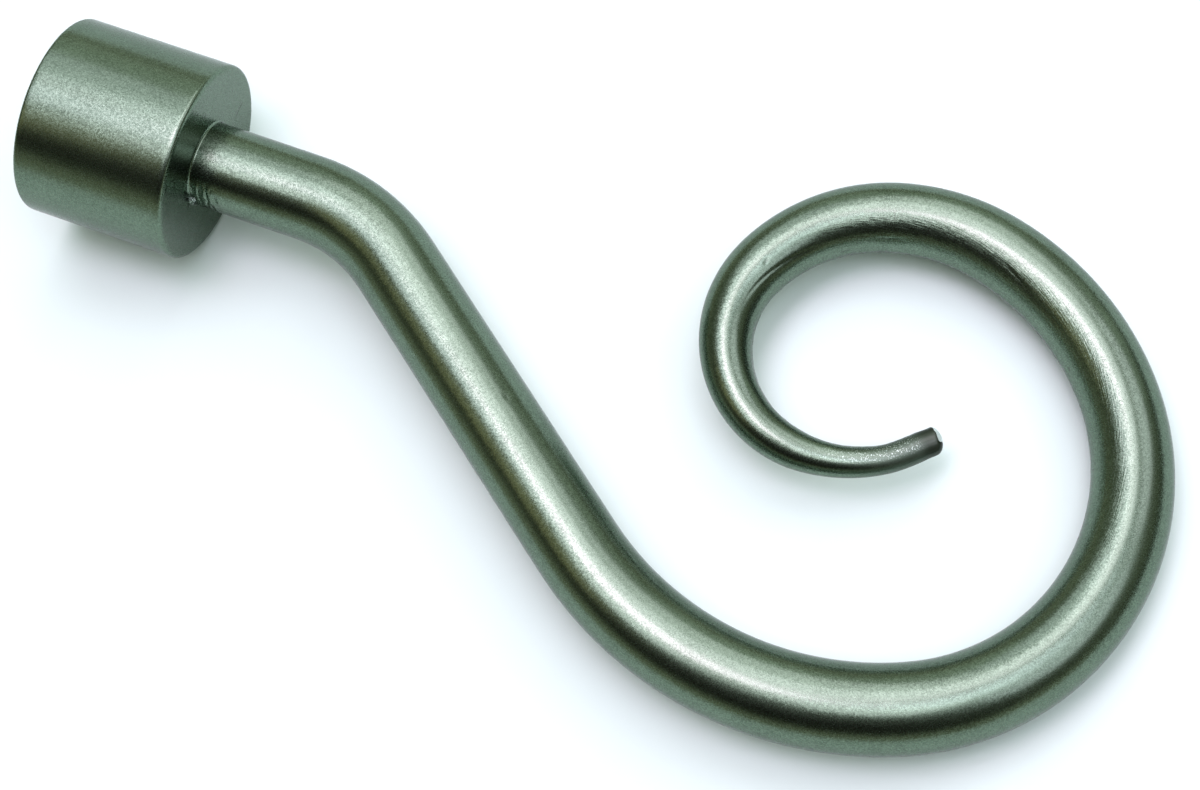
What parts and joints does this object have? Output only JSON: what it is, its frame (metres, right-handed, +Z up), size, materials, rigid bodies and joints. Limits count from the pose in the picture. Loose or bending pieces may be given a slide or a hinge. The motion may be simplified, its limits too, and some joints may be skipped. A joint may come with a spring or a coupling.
{
  "type": "curtain finial",
  "caption": "Scroll crook finial: a round bar bent and rolled into a tapering open spiral on a short turned collar that slips over a pole's end",
  "frame": {"origin": "centre of the collar's open mouth, on the pole's axis", "axes": "+X out along the pole's axis to the scroll, +Y to the side that faces up on a hung pole, +Z up with the finial lying on its side"},
  "size_m": [0.1444, 0.0698, 0.025],
  "materials": {
    "lacquered_metal": "satin metallic lacquer, warm pewter grey",
    "screw_steel": "blackened steel"
  },
  "bodies": {
    "root": {"collar": "lacquered_metal", "crook": "lacquered_metal", "grub_screw": "screw_steel"}
  },
  "joints": []
}
